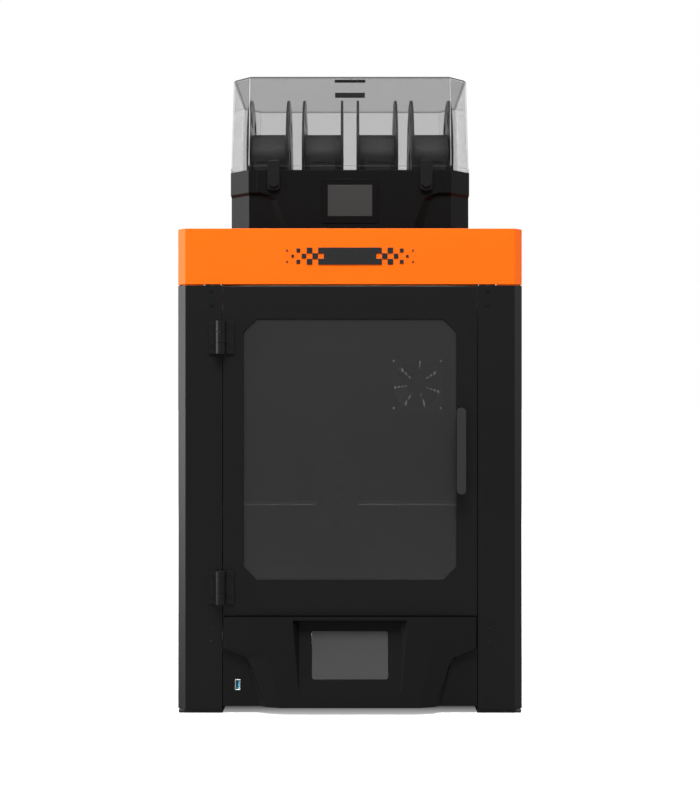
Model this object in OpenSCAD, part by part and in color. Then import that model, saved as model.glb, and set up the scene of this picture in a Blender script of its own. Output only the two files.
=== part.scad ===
// Enclosed filament 3-D printer with a four-spool filament box on its roof.
// Millimetres. +Z is up, the front faces -Y and X = 0 is the middle of the width.
// Depths are counted backwards from the front face of the two front posts.

/* [Body] */
// Width over the two side panels
body_w = 484; // [476:1:500]
// Depth from the posts' front face to the rear panel's back face
body_d = 500; // [500:1:520]
// Height of the posts and side panels
post_top = 599.4; // [599.4:0.1:599.6]
// Height of the crown's top edge
crown_top = 679; // [679:1:684]
// Width of the 45 degree chamfer on the body's upright corners
corner_chamfer = 11.5; // [6:0.5:16]
// Width of one front post
post_w = 63; // [62.5:0.5:63.5]
// Depth of one front post
post_d = 60; // [56:1:62]
// Sheet metal thickness
sheet = 2; // [1.6:0.1:2]

/* [Door] */
// Height of the door's lower edge
door_bottom = 136.4; // [136:0.1:137]
// Height of the door's upper edge
door_top = 598.5; // [597:0.1:598.5]
// Thickness of the door frame
door_t = 8; // [7:0.5:9]
// Half width of the window's visible opening
window_half = 148.7; // [140:0.1:149]
// Lower edge of the window's visible opening
window_low = 187.4; // [180:0.1:200]
// Upper edge of the window's visible opening
window_high = 552.3; // [520:0.1:555]
// Cut of the window's corners
window_cut = 18; // [6:1:20]
// How far the handle stands out
handle_proud = 22; // [20:1:26]
// Length of the handle
handle_l = 120; // [100:1:140]

/* [Hinges] */
// Length of one door hinge
hinge_l = 46; // [40:1:50]
// Barrel radius of a door hinge
barrel_r = 7; // [6:0.5:7]
// Pin radius of every hinge
pin_r = 2.5; // [2:0.1:2.6]
// Running clearance of pins, rods and screws
running = 0.05; // [0.02:0.01:0.09]

/* [Lower panel] */
// Height of the lower front panel's top edge
panel_top = 135.3; // [134:0.1:135.5]
// How far its middle stands out
bulge = 14; // [10:0.5:16]
// How far its first facet stands out
facet = 8; // [5:0.5:9]
// Depth of the screen recess at its top
recess_d = 16; // [12:0.5:17]

/* [Motion] */
// Height of the gantry's side beams at rest
beam_z = 232; // [232:1:240]
// Half spacing of the guide rods and lead screws
rod_x = 219; // [219:0.1:219.2]
// Radius of the guide rods
rod_r = 5; // [4:0.5:5]
// Radius of the lead screws
screw_r = 4; // [4:0.5:5]
// Place of the toolhead across the width
tool_x = -19.5; // [-60:0.5:60]
// Width of the toolhead shell
tool_w = 64; // [60:1:66]

/* [Filament box] */
// Half width of the box
box_half = 177.3; // [177:0.1:180]
// Depth at which the box's front face stands
box_front = 90; // [88:1:92]
// Depth of the box
box_d = 248; // [248:1:252]
// Chamfer of the box's upright corners
box_chamfer = 28.6; // [24:0.1:30]
// Height of the box's rim
rim_z = 776.3; // [776:0.1:777]
// Height of the lid's roof
lid_top = 914; // [910:0.5:916]
// Outer radius of a spool
spool_r = 100; // [98:0.5:100]
// Distance between neighbouring spools
spool_pitch = 82; // [80:0.5:82]
// Distance between a spool's two flanges, centre to centre
spool_gauge = 57.8; // [50:0.1:58]

/* [Hidden] */
$fn = 64;
rocker_tilt = 7;
rocker_half = 9;
rocker_cap = 2;
rear_proud = rocker_cap * cos(rocker_tilt) + rocker_half * sin(rocker_tilt);
front_y = -(body_d + rear_proud - handle_proud) / 2;
half_w = body_w / 2;
post_in = half_w - post_w;
foot_h = 5;
panel_bottom = 10.4;
panel_half = post_in - 1;
crown_low = 600.8;
deck_z = 136;
roof_z = 674;
hinge_zs = [176.7, 526.3];
hinge_x = -(post_in + 1.5);
hinge_d = -(barrel_r + 0.3);
screw_rows = [[193, 569], [193, 589], [195.2, 103.6], [195.2, 121.3]];
screw_head_r = 4;
recess_low = 28.9;
recess_high = 132.3;
recess_half = 71;
recess_tilt = atan(recess_d / (recess_high - recess_low));
screen_mid = 82.55;
usb_at = [-157.2, 40.3];
bed_half = 155;
bed_d = [85, 395];
beam_half = 185;
rod_ds = [110, 400];
screw_depth = 255;
coupling_top = deck_z + 20;
bridge_z = 248;
bridge_d = [280, 298];
tool_d = [214, 268];
tool_z = [240, 343];
tool_fan_z = 289.7;
tool_fan_r = 16.4;
fan_at = [118, 466];
fan_r = 43.5;
fan_hole_gap = 41.25;
fan_hole_r = 2.2;
inlet_at = [190, 62];
box_bottom = 680;
box_mid_d = box_front + 125;
spool_z = 803;
hub_r = 48;
spool_xs = [for (i = [0:3]) (i - 1.5) * spool_pitch];
roller_angle = 38;
roller_r = 9;
roller_reach = spool_r + roller_r + 0.3;
roller_z = spool_z - roller_reach * cos(roller_angle);
roller_ds = [for (s = [-1, 1]) box_mid_d + s * roller_reach * sin(roller_angle)];
latch_x = 111.7;
latch_z = 757.3;
lid_axis_d = box_front + box_d + 7;
lid_axis_z = rim_z + 1.7;
lid_hinge_xs = [-100, 100];
lid_barrel_r = 5;
band_z = 743;
outlet_xs = [-45, -15, 15, 45];
outlet_z = 720;
outlet_half = 60;
spool_bore = 26;
skin = 1.4;
black = [0.12, 0.12, 0.125];

// Box between two x, two depths and two heights
module block(x, d, z) {
    translate([x[0], front_y + d[0], z[0]])
        cube([x[1] - x[0], d[1] - d[0], z[1] - z[0]]);
}

// Round bars along X, Y and Z; the range runs along the bar
module bar_x(x, d, z, r) {
    translate([x[0], front_y + d, z]) rotate([0, 90, 0]) cylinder(r = r, h = x[1] - x[0]);
}
module bar_y(x, d, z, r) {
    translate([x, front_y + d[0], z]) rotate([-90, 0, 0]) cylinder(r = r, h = d[1] - d[0]);
}
module bar_z(x, d, z, r) {
    translate([x, front_y + d, z[0]]) cylinder(r = r, h = z[1] - z[0]);
}

module both_sides() {
    children();
    mirror([1, 0, 0]) children();
}

// Flat rectangle with round corners, centred
module rounded(w, h, r) {
    square([w, h - 2 * r], center = true);
    square([w - 2 * r, h], center = true);
    for (x = [-1, 1], y = [-1, 1]) translate([x * (w / 2 - r), y * (h / 2 - r)]) circle(r);
}

// Plate of a flat outline in x and z, from one depth back to another
module plate_y(d) {
    translate([0, front_y + d[1], 0]) rotate([90, 0, 0]) linear_extrude(d[1] - d[0]) children();
}

// Closed solid through rings of equally many points, each ring counter-clockwise from its far end
module ring_stack(rings) {
    n = len(rings[0]);
    last = (len(rings) - 1) * n;
    caps = [[for (i = [0:n - 1]) i], [for (i = [n - 1:-1:0]) last + i]];
    sides = [for (k = [0:len(rings) - 2], i = [0:n - 1], t = [0, 1])
        let (a = k * n + i, b = k * n + (i + 1) % n)
        t == 0 ? [a, a + n, b + n] : [a, b + n, b]];
    polyhedron(points = [for (ring = rings, p = ring) p], faces = concat(caps, sides));
}

// Rectangle with cut corners, from half width and depth range
function cut_rect(h, d0, d1, c) = [[-h + c, d0], [h - c, d0], [h, d0 + c], [h, d1 - c],
    [h - c, d1], [-h + c, d1], [-h, d1 - c], [-h, d0 + c]];

module body_outline(inset) {
    translate([0, front_y])
        polygon(cut_rect(half_w - inset, inset, body_d - inset,
            max(corner_chamfer - 0.586 * inset, 1)));
}

// ---- sheet metal body ----

// Folded tray that carries the electronics, with a tongue between the front posts
module base_tray() {
    side = half_w - 1.5;
    color("dimgray") difference() {
        union() {
            block([-side, side], [post_d + 1, body_d - 2], [8, 10]);
            block([-panel_half, panel_half], [10, post_d + 1], [8, 10]);
            both_sides() block([side - 1.5, side], [post_d + 1, body_d - 2], [10, 34]);
            block([-side, side], [body_d - 3.5, body_d - 2], [10, 34]);
        }
        for (i = [0:11]) block([-120 + i * 16, -112 + i * 16], [200, 290], [7, 11]);
    }
}

// Channel-shaped front post, open towards the back
module front_post() {
    c = corner_chamfer;
    color(black) difference() {
        translate([0, 0, foot_h]) linear_extrude(post_top - foot_h) translate([0, front_y])
            polygon([[-post_in, 0], [-half_w + c, 0], [-half_w, c], [-half_w, post_d],
                [-half_w + sheet, post_d], [-half_w + sheet, c + 0.8], [-half_w + c + 0.8, sheet],
                [-post_in - sheet, sheet], [-post_in - sheet, post_d], [-post_in, post_d]]);
        for (s = screw_rows) bar_y(-s[0], [-1, sheet + 1], s[1], screw_head_r);
    }
}
module front_post_left() { front_post(); }
module front_post_right() { mirror([1, 0, 0]) front_post(); }

// Flat side sheet with folded top and bottom edges and a field of air slots
module side_panel() {
    x0 = -half_w;
    color(black) difference() {
        union() {
            block([x0, x0 + 1.5], [post_d + 1, body_d - 2], [foot_h + 5, post_top]);
            block([x0, x0 + 9], [post_d + 1, body_d - 2], [post_top - 1.5, post_top]);
        }
        for (i = [0:15]) block([x0 - 1, x0 + 2], [330 + i * 9, 334 + i * 9], [50, 110]);
    }
}
module side_panel_left() { side_panel(); }
module side_panel_right() { mirror([1, 0, 0]) side_panel(); }

// Rear sheet with the fan grille, the mains module's cut-out and air slots
module rear_panel() {
    color(black) difference() {
        block([-half_w, half_w], [body_d - 2, body_d], [10, post_top]);
        intersection() {
            bar_y(fan_at[0], [body_d - 3, body_d + 1], fan_at[1], 42);
            for (i = [-6:6]) block([fan_at[0] + i * 6.3 - 1.8, fan_at[0] + i * 6.3 + 1.8],
                [body_d - 3, body_d + 1], [fan_at[1] - 42, fan_at[1] + 42]);
        }
        for (x = [-1, 1], z = [-1, 1]) bar_y(fan_at[0] + x * fan_hole_gap,
            [body_d - 3, body_d + 1], fan_at[1] + z * fan_hole_gap, fan_hole_r);
        block([inlet_at[0] - 23.5, inlet_at[0] + 23.5], [body_d - 3, body_d + 1],
            [inlet_at[1] - 13.5, inlet_at[1] + 13.5]);
        for (i = [0:19]) block([-190 + i * 9, -186 + i * 9], [body_d - 3, body_d + 1], [40, 100]);
    }
}

// Moulded cover ring with a flat rim on top
module crown() {
    color("darkorange") difference() {
        translate([0, 0, crown_low]) linear_extrude(crown_top - crown_low) body_outline(0);
        translate([0, 0, crown_low - 1]) linear_extrude(crown_top - 3 - crown_low + 1)
            body_outline(4);
        translate([0, 0, crown_top - 4]) linear_extrude(6) body_outline(30);
    }
}

// Roof sheet under the crown's rim, with a slot for the filament tubes
module top_plate() {
    color(black) difference() {
        translate([0, 0, roof_z]) linear_extrude(sheet) body_outline(4);
        block([-60, 60], [400, 424], [roof_z - 1, roof_z + 3]);
    }
}

// Name plate without a name, flanked by checks that shrink outwards
module badge_inlay() {
    pitch = 7.9;
    mid_z = 640.35;
    plate_half = 44.6;
    sizes = [7.9, 7.9, 6.6, 5.5, 3.8, 2.5];
    color("black") {
        difference() {
            block([-plate_half, plate_half], [-1.2, 0], [mid_z - 1.5 * pitch, mid_z + 1.5 * pitch]);
            both_sides() block([plate_half - pitch, plate_half + 1], [-2, 1],
                [mid_z - pitch / 2, mid_z + pitch / 2]);
        }
        both_sides() for (k = [0:5], row = [-1:1]) if ((k + row + 2) % 2 == 0) {
            x = plate_half + (k + 0.5) * pitch + 0.1;
            s = sizes[k] / 2 - 0.05;
            block([x - s, x + s], [-1, 0], [mid_z + row * pitch - s, mid_z + row * pitch + s]);
        }
    }
}

// ---- lower front panel ----

// Left half of the bulge's outline at one level, from the bottom edge up; x and z
crease = [[-126.3, panel_bottom], [-140.8, 69.9], [-150.5, 80.7], [-panel_half, 91.6],
    [-panel_half, panel_top]];
facet_edge = [[-117.2, panel_bottom], [-137.2, 67.4], [-144.3, 79.4], [-panel_half + 2.4, 93],
    [-panel_half + 2.4, panel_top]];
plateau = [[-97, panel_bottom], [-109, 67.4], [-113, 88], [-117, 111], [-119, panel_top]];

function mirrored(half) = concat([for (i = [0:4]) [-half[i][0], half[i][1]]],
    [for (i = [4:-1:0]) half[i]]);
function panel_ring(half, d) = [for (p = mirrored(half)) [p[0], front_y + d, p[1]]];

module bulge_solid() {
    ring_stack([panel_ring(crease, 3), panel_ring(crease, 0), panel_ring(facet_edge, -facet),
        panel_ring(plateau, -bulge)]);
}

// Outline of the recess floor, counter-clockwise, with round lower corners
function recess_outline(grow) = let (r = 9.6) concat(
    [for (a = [180:30:270]) [-recess_half + r + (r + grow) * cos(a), recess_low + r
        + (r + grow) * sin(a)]],
    [for (a = [270:30:360]) [recess_half - r + (r + grow) * cos(a), recess_low + r
        + (r + grow) * sin(a)]],
    [[recess_half + grow, recess_high + grow], [-recess_half - grow, recess_high + grow]]);
function floor_d(z) = -bulge + (z - recess_low) * tan(recess_tilt);
function floor_ring(grow, back) = [for (p = recess_outline(grow))
    [p[0], front_y + floor_d(p[1]) + back, p[1]]];
function mouth_ring(grow) = [for (p = recess_outline(grow))
    [p[0] + sign(p[0]) * 0.56 * (floor_d(p[1]) + bulge + 1), front_y - bulge - 1, p[1]]];

// Places children on the recess floor, at the middle of the screen
module on_recess_floor() {
    translate([0, front_y + floor_d(screen_mid), screen_mid]) rotate([-recess_tilt, 0, 0])
        children();
}
module screen_block(w, h, r, y0, y1) {
    translate([0, y1, 0]) rotate([90, 0, 0]) linear_extrude(y1 - y0) rounded(w, h, r);
}

// Moulded panel with a faceted bulge, a sloping screen recess and a data socket
module lower_front_panel() {
    color(black) difference() {
        union() {
            block([-panel_half, panel_half], [0, 3], [panel_bottom, panel_top]);
            bulge_solid();
        }
        difference() {
            translate([0, 3.2, 3]) scale([0.97, 1, 0.95]) bulge_solid();
            intersection() {
                ring_stack([floor_ring(3, 3), mouth_ring(3)]);
                bulge_solid();
            }
        }
        ring_stack([floor_ring(0, 0), mouth_ring(0)]);
        on_recess_floor() screen_block(107.2, 67.4, 3.8, -1, 5);
        block([usb_at[0] - 3.9, usb_at[0] + 3.9], [-1, 4], [usb_at[1] - 7.8, usb_at[1] + 7.8]);
    }
}

// Touch screen with its module behind the panel
module touch_screen() {
    color("gray") on_recess_floor() {
        screen_block(106.6, 66.8, 3.6, 0.5, 3.4);
        screen_block(100, 60, 2, 3.4, 9);
    }
}

// Upright data socket: steel shell with an inner tongue
module usb_port() {
    color("silver") difference() {
        block([usb_at[0] - 3.7, usb_at[0] + 3.7], [-0.6, 16], [usb_at[1] - 7.6, usb_at[1] + 7.6]);
        block([usb_at[0] - 2.6, usb_at[0] + 2.6], [-1, 13], [usb_at[1] - 6.3, usb_at[1] + 6.3]);
    }
    color("deepskyblue") block([usb_at[0] + 0.3, usb_at[0] + 2.2], [1, 13],
        [usb_at[1] - 5.8, usb_at[1] + 5.8]);
}

// Four foot caps, one under each corner
module foot_caps() {
    color("gray") both_sides() {
        block([-half_w + 1.5, -post_in + 1], [3, post_d], [0, foot_h]);
        block([-half_w + 1.5, -post_in + 1], [body_d - 62, body_d - 4], [0, 8]);
    }
}

// Round-head screws of the posts and the latches' shoulder screws
module frame_screws() {
    color("dimgray") {
        both_sides() for (s = screw_rows) {
            difference() {
                bar_y(-s[0], [0.5, sheet + 1.5], s[1], screw_head_r - 0.1);
                translate([-s[0], front_y - 1, s[1]]) rotate([-90, 0, 0])
                    cylinder(r = 2, h = 3, $fn = 6);
            }
            bar_y(-s[0], [sheet + 1.5, 14], s[1], 2.5);
        }
        both_sides() {
            bar_y(-latch_x, [box_front - 8, box_front - 5.3], latch_z, 6.9);
            bar_y(-latch_x, [box_front - 5.3, box_front - 0.2], latch_z, 3);
        }
    }
}

// ---- chamber ----

// Chamber floor with a front edge folded down, pressed-in bed studs and lead screw holes
module chamber_deck() {
    side = half_w - 1.5;
    color("dimgray") difference() {
        union() {
            block([-side, side], [post_d + 1, body_d - 2], [deck_z, deck_z + sheet]);
            block([-panel_half, panel_half], [10, post_d + 1], [deck_z, deck_z + sheet]);
            block([-panel_half, panel_half], [10, 10 + sheet], [deck_z - 18, deck_z]);
            for (x = [-135, 135], d = [bed_d[0] + 20, bed_d[1] - 20])
                bar_z(x, d, [deck_z + sheet, deck_z + 12], 5);
        }
        for (x = [-rod_x, rod_x]) bar_z(x, screw_depth, [deck_z - 1, deck_z + 3], 8);
    }
}

// Aluminium heater plate
module heated_bed() {
    color("silver") block([-bed_half, bed_half], bed_d, [deck_z + 12, deck_z + 17]);
}

// Spring steel sheet with a pull tab at its front edge
module build_plate() {
    color("goldenrod") {
        block([-bed_half, bed_half], bed_d, [deck_z + 17, deck_z + 18]);
        block([-40, 40], [bed_d[0] - 12, bed_d[0]], [deck_z + 17, deck_z + 18]);
    }
}

// Four hardened rods that guide the gantry up and down
module guide_rods() {
    color("silver") for (x = [-rod_x, rod_x], d = rod_ds)
        bar_z(x, d, [deck_z + sheet, roof_z], rod_r);
}

// Stepper motor body with a stub bore, standing on its back at the origin
module stepper(size, h, bore) {
    difference() {
        linear_extrude(h) polygon(cut_rect(size / 2, -size / 2, size / 2, 4));
        translate([0, 0, h - 18]) cylinder(r = bore, h = 20);
    }
}

// Two motors under the deck that turn the lead screws
module z_motors() {
    color("dimgray") for (x = [-rod_x, rod_x]) translate([x, front_y + screw_depth, deck_z - 40])
        stepper(42, 40, pin_r + running);
}

// Lead screw with its coupling and the motor's shaft
module lead_screw(x) {
    color("silver") {
        bar_z(x, screw_depth, [deck_z - 16, deck_z + 4], pin_r);
        bar_z(x, screw_depth, [deck_z + 4, coupling_top], 7);
        bar_z(x, screw_depth, [coupling_top, roof_z - 2], screw_r);
    }
}
module lead_screw_left() { lead_screw(-rod_x); }
module lead_screw_right() { lead_screw(rod_x); }

// ---- exhaust fan, mains and electronics ----

// Square fan frame with a motor cup on three struts
module exhaust_fan_frame() {
    d = [body_d - 27, body_d - 2];
    color("dimgray") {
        difference() {
            block([fan_at[0] - 46, fan_at[0] + 46], d, [fan_at[1] - 46, fan_at[1] + 46]);
            bar_y(fan_at[0], [d[0] - 1, d[1] + 1], fan_at[1], fan_r);
            for (x = [-1, 1], z = [-1, 1])
                bar_y(fan_at[0] + x * fan_hole_gap, [d[0] - 1, d[1] + 1],
                    fan_at[1] + z * fan_hole_gap, fan_hole_r);
        }
        difference() {
            union() {
                bar_y(fan_at[0], [d[1] - 5, d[1] - 1], fan_at[1], 15);
                for (a = [30:120:270]) translate([fan_at[0], front_y + d[1] - 5, fan_at[1]])
                    rotate([0, a, 0]) translate([0, 0, -2]) cube([fan_r + 0.5, 3, 4]);
            }
            bar_y(fan_at[0], [d[1] - 8, d[1]], fan_at[1], pin_r + running);
        }
    }
}

// Fan wheel with seven broad pitched blades
module exhaust_rotor() {
    d = [body_d - 25, body_d - 9];
    pitch = 22;
    color("gray") {
        bar_y(fan_at[0], d, fan_at[1], 16);
        bar_y(fan_at[0], [d[1], d[1] + 6], fan_at[1], pin_r);
        intersection() {
            bar_y(fan_at[0], d, fan_at[1], fan_r - 1.5);
            for (i = [0:6]) translate([fan_at[0], front_y + d[0] + 8, fan_at[1]])
                rotate([0, i * 360 / 7 - 7.5, 0]) translate([14, 0, 0]) rotate([pitch, 0, 0])
                translate([0, 0.8, 0]) rotate([90, 0, 0]) linear_extrude(1.6)
                polygon([[0, -6.2], [10, -10.9], [30, -19.2], [30, 19.2], [10, 10.9], [0, 6.2]]);
        }
    }
}

// Mains module: flange, socket cavity with three blades and a bay for the rocker
module power_inlet() {
    x = inlet_at[0];
    z = inlet_at[1];
    cavity = [body_d - 16, body_d + 3];
    blade = [body_d - 16, body_d - 4];
    color("black") {
        difference() {
            union() {
                block([x - 30, x + 30], [body_d, body_d + 2], [z - 15.5, z + 15.5]);
                block([x - 23.2, x + 23.2], [body_d - 26, body_d], [z - 13.2, z + 13.2]);
            }
            block([x - 20, x + 5], cavity, [z - 8.5, z + 8.5]);
            block([x + 8, x + 20.5], [body_d - 12, body_d + 3], [z - 10, z + 10]);
        }
    }
    color("silver") {
        block([x - 8.5, x - 6.5], blade, [z + 1.6, z + 5.6]);
        for (dx = [-15.5, -1.5]) block([x + dx, x + dx + 2], blade, [z - 3.4, z + 0.6]);
    }
}

// Rocker of the mains switch, resting with its lower half in
module power_rocker() {
    color("dimgray") translate([inlet_at[0] + 14.25, front_y + body_d, inlet_at[1]])
        rotate([rocker_tilt, 0, 0]) {
            translate([-5.9, -4, -rocker_half]) cube([11.8, 4 + rocker_cap, 2 * rocker_half]);
            translate([-5.9, -1, 0]) rotate([0, 90, 0]) cylinder(r = 3.4, h = 11.8);
        }
}

// Mains power supply: steel case with a terminal strip
module power_supply() {
    color("silver") {
        block([-215, 0], [320, 435], [10, 40]);
        block([0, 12], [330, 425], [10, 26]);
    }
}

// Main circuit board on four pillars with connectors and drivers
module control_board() {
    color("darkgreen") {
        block([40, 190], [180, 280], [20, 21.6]);
        for (x = [46, 184], d = [186, 274]) bar_z(x, d, [10, 20], 3);
        for (i = [0:4]) block([56 + i * 24, 72 + i * 24], [192, 208], [21.6, 32]);
        block([60, 178], [256, 268], [21.6, 31]);
        block([104, 122], [224, 242], [21.6, 24]);
    }
}

// ---- hinges and door ----

// Knuckle of a door hinge between two heights, with the tongue to its leaf
module door_knuckle(z, side, bore) {
    difference() {
        union() {
            bar_z(hinge_x, hinge_d, z, barrel_r);
            block(side < 0 ? [hinge_x - 9, hinge_x - 2.5] : [hinge_x + 2.5, hinge_x + 9],
                [-4, -0.1], z);
        }
        bar_z(hinge_x, hinge_d, [z[0] - 1, z[1] + 1], bore);
    }
}

// Post side of the door hinges and box side of the lid hinges
module fixed_hinge_leaves() {
    rear = box_front + box_d;
    third = hinge_l / 3;
    color("dimgray") {
        for (z = hinge_zs) {
            z0 = z - hinge_l / 2;
            difference() {
                block([hinge_x - 16.3, hinge_x - 7.3], [-3, 0], [z0, z0 + hinge_l]);
                for (s = [-14, 14]) bar_y(hinge_x - 12, [-3.5, -1.5], z + s, 2.6);
            }
            door_knuckle([z0, z0 + third - 0.3], -1, pin_r);
            door_knuckle([z0 + 2 * third + 0.3, z0 + hinge_l], -1, pin_r);
        }
        for (x = lid_hinge_xs) {
            block([x - 20, x + 20], [rear, rear + 2], [750, 770]);
            for (s = [[-20, -7], [7, 20]]) difference() {
                union() {
                    bar_x([x + s[0], x + s[1]], lid_axis_d, lid_axis_z, lid_barrel_r);
                    block([x + s[0], x + s[1]], [rear, lid_axis_d - 1], [764, lid_axis_z - 3.6]);
                }
                bar_x([x + s[0] - 1, x + s[1] + 1], lid_axis_d, lid_axis_z, pin_r);
            }
        }
    }
}

// Pins of the two door hinges and the two lid hinges
module hinge_pins() {
    color("silver") {
        for (z = hinge_zs) bar_z(hinge_x, hinge_d, [z - hinge_l / 2, z + hinge_l / 2], pin_r);
        for (x = lid_hinge_xs) bar_x([x - 20, x + 20], lid_axis_d, lid_axis_z, pin_r);
    }
}

// Door side of the door hinges
module door_hinge_leaves() {
    third = hinge_l / 3;
    color("dimgray") for (z = hinge_zs) {
        z0 = z - hinge_l / 2;
        difference() {
            block([hinge_x + 7.3, hinge_x + 18.5], [-3, 0], [z0, z0 + hinge_l]);
            for (s = [-14, 14]) bar_y(hinge_x + 13.5, [-3.5, -1.5], z + s, 2.6);
        }
        door_knuckle([z0 + third, z0 + 2 * third], 1, pin_r + running);
    }
}

function window_outline(grow) = let (w = window_half + grow, c = window_cut + 0.586 * grow)
    [[-w + c, window_low - grow], [w - c, window_low - grow], [w, window_low - grow + c],
    [w, window_high + grow - c], [w - c, window_high + grow], [-w + c, window_high + grow],
    [-w, window_high + grow - c], [-w, window_low - grow + c]];

// Door frame: one front sheet with a folded edge and a rebate for the pane
module door_frame() {
    color(black) difference() {
        block([-panel_half, panel_half], [0, door_t], [door_bottom, door_top]);
        plate_y([-1, door_t + 1]) polygon(window_outline(0));
        plate_y([skin, door_t + 1]) polygon(window_outline(6));
        both_sides() block([window_half + 10, panel_half - 2], [3, door_t + 1],
            [door_bottom + 3, door_top - 3]);
    }
}

// Smoked pane with cut corners
module door_window() {
    color([0.25, 0.25, 0.25, 0.6])
        plate_y([skin + 0.1, skin + 3.1]) polygon(window_outline(5.5));
}

// Upright grip on two short legs
module door_handle() {
    w = 12.3;
    x = 154.55;
    z = 368;
    color("dimgray") {
        translate([x, 0, z]) plate_y([-handle_proud, -handle_proud + 10])
            rounded(w, handle_l, w / 2 - 0.01);
        for (s = [-1, 1]) translate([x, 0, z + s * (handle_l / 2 - 14)])
            plate_y([-handle_proud + 10, 0]) rounded(w - 2, 20, 5);
    }
}

// ---- gantry ----

// Two side beams and the rear cross beam with its motor plates
module gantry_beams() {
    color("dimgray") {
        both_sides() {
            block([beam_half, beam_half + 20], [64, 444], [beam_z, beam_z + 20]);
            block([beam_half, beam_half + 44], [444, 492], [beam_z + 4, beam_z + 8]);
        }
        block([-beam_half, beam_half], [446, 466], [beam_z - 10, beam_z + 8]);
    }
}

// Rod bushings at the corners and lead screw nuts at mid depth
module gantry_brackets() {
    x = [beam_half + 20, rod_x + 14];
    half = 15;
    top = beam_z + 27.5;
    color("gray") both_sides() {
        for (d = rod_ds) difference() {
            block(x, [d - half, d + half], [beam_z - 4, top]);
            bar_z(rod_x, d, [beam_z - 5, top + 1], rod_r + running);
        }
        difference() {
            block(x, [screw_depth - half, screw_depth + half], [beam_z + 8, top]);
            bar_z(rod_x, screw_depth, [beam_z + 7, top + 1], screw_r + running);
        }
    }
}

// Linear rail of one direction: a waisted bar, length along Y from the origin
module rail(length) {
    rotate([-90, 0, 0]) linear_extrude(length)
        polygon([[-6, 0], [6, 0], [6, -2.5], [4.6, -4], [6, -5.5], [6, -8], [-6, -8], [-6, -5.5],
            [-4.6, -4], [-6, -2.5]]);
}

// Rails on the two side beams
module y_rails() {
    color("silver") for (x = [-195, 195]) translate([x, front_y + 90, beam_z + 20])
        difference() {
            rail(352);
            for (i = [0:13]) translate([0, 13.5 + i * 25, -1]) cylinder(r = 1.8, h = 10);
        }
}

// Two belt motors at the rear corners
module belt_motors() {
    color("dimgray") both_sides()
        translate([beam_half + 22, front_y + 470, beam_z + 8]) stepper(40, 34, pin_r);
}

// Belt loops of both sides with their drive pulleys and front idlers
module drive_belts() {
    x = beam_half + 19;
    z = [beam_z + 53.5, beam_z + 59.5];
    color("black") both_sides() {
        for (s = [-6.7, 5.3]) block([x + s, x + s + 1.4], [78, 470], z);
        difference() {
            union() {
                bar_z(x, 78, [z[0] - 1, z[1] + 1], 8);
                bar_z(x, 470, [z[0] - 1, z[1] + 1], 8);
            }
            bar_z(x, 78, [z[0] - 2, z[1] + 2], 2.5);
        }
        bar_z(x, 78, [beam_z + 20, z[1] + 2], 2.5);
        bar_z(x, 470, [beam_z + 42, z[0] - 1], 2.5);
    }
}

// Cross beam that carries the toolhead rail
module x_beam() {
    color("dimgray") difference() {
        block([-beam_half + 5, beam_half - 5], bridge_d, [bridge_z, bridge_z + 20]);
        block([-beam_half, beam_half], [bridge_d[0] + 4, bridge_d[1] - 4],
            [bridge_z + 4, bridge_z + 16]);
    }
}

// Steel rail on top of the cross beam, holes every 25 mm
module x_rail() {
    length = 2 * beam_half - 14;
    color("silver") translate([-length / 2, front_y + bridge_d[0] + 9, bridge_z + 20])
        rotate([0, 0, -90]) difference() {
            rail(length);
            for (i = [0:13]) translate([0, 15.5 + i * 25, 2]) {
                cylinder(r = 3, h = 8);
                translate([0, 0, -3]) cylinder(r = 1.8, h = 8);
            }
        }
}

// Blocks on the side rails that hold the cross beam's ends
module y_carriages() {
    color("gray") both_sides() {
        block([beam_half - 5, 210], [274, 304], [beam_z + 28.4, beam_z + 52]);
        block([beam_half - 5, beam_half - 0.4], [274, 304], [bridge_z, beam_z + 28.4]);
    }
}

// ---- toolhead ----

// Carriage over the cross rail with its front plate
module toolhead_carriage() {
    color("gray") {
        block([tool_x - 22, tool_x + 22], [tool_d[1], 310], [bridge_z + 28.4, bridge_z + 40]);
        block([tool_x - 22, tool_x + 22], [tool_d[1], tool_d[1] + 8],
            [bridge_z - 2, bridge_z + 28.4]);
    }
}

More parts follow.
